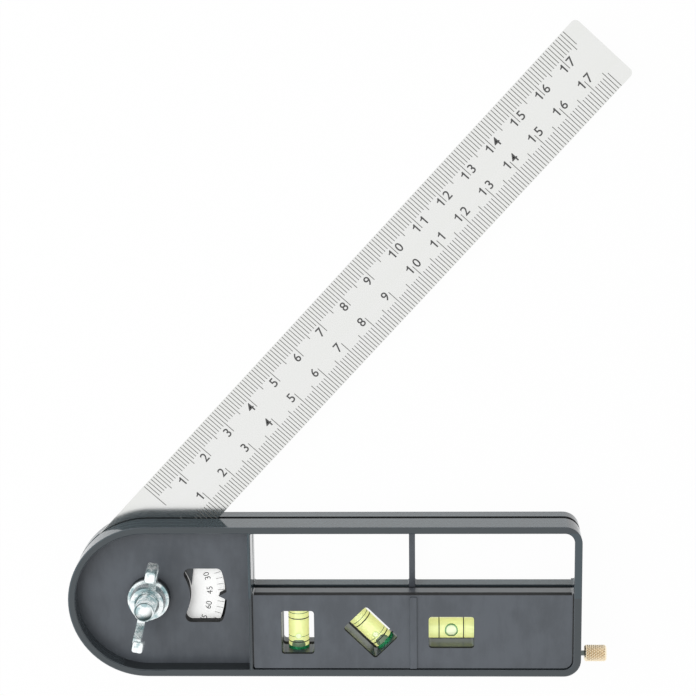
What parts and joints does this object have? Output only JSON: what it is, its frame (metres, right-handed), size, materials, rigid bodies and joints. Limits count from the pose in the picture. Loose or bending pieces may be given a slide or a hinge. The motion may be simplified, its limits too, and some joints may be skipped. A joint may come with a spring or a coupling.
{
  "type": "adjustable protractor",
  "caption": "Flat protractor case with a folding steel ruler blade, a wing nut clamp, a reading window, small spirit vials and a pull-out scriber.",
  "frame": {"origin": "on the blade's turning axis, in the plane of the case's back rim", "axes": "+Z out of the back and up through the wing nut, +X along the case towards the scriber, +Y towards the edge that the blade folds out of"},
  "size_m": [0.1602, 0.1874, 0.0242],
  "materials": {
    "case_plastic": "moulded, fine satin grain, dark blue-grey",
    "blade_steel": "satin stainless with etched graduation",
    "zinc_plate": "bright blue zinc plate",
    "needle_steel": "hardened, ground",
    "brass": "knurled, bright",
    "clear_tube": "clear acrylic",
    "vial_liquid": "clear yellow-green spirit",
    "green_plug": "smooth green",
    "black_marks": "black filled lines"
  },
  "bodies": {
    "case": {"front_shell": "case_plastic", "rear_shell": "case_plastic", "pivot_bolt": "zinc_plate", "level_tube": "clear_tube", "level_liquid": "vial_liquid", "level_plug": "green_plug", "level_rings": "black_marks", "plumb_tube": "clear_tube", "plumb_liquid": "vial_liquid", "plumb_plug": "green_plug", "plumb_rings": "black_marks", "mitre_tube": "clear_tube", "mitre_liquid": "vial_liquid", "mitre_plug": "green_plug", "mitre_rings": "black_marks"},
    "blade": {"blade": "blade_steel"},
    "washer": {"washer": "zinc_plate"},
    "nut": {"wing_nut": "zinc_plate"},
    "scriber": {"scriber_needle": "needle_steel", "scriber_head": "brass"}
  },
  "joints": [
    {"name": "blade_swing", "type": "hinge", "parent": "case", "child": "blade", "pos_m": [0, 0, 0.0055], "axis": [0, 0, 1], "range_deg": [-47.4, 132.6]},
    {"name": "washer_lift", "type": "slide", "parent": "case", "child": "washer", "axis": [0, 0, 1], "range_m": [0, 0.00101]},
    {"name": "nut_turn", "type": "hinge", "parent": "washer", "child": "nut", "pos_m": [0, 0, 0.0152], "axis": [0, 0, 1], "range_deg": [0, 360]},
    {"name": "scriber_slide", "type": "slide", "parent": "case", "child": "scriber", "axis": [1, 0, 0], "range_m": [0, 0.05]}
  ],
  "couplings": [
    {"joint": "washer_lift", "follows": "nut_turn", "m_per_rad": 0.00015915}
  ]
}
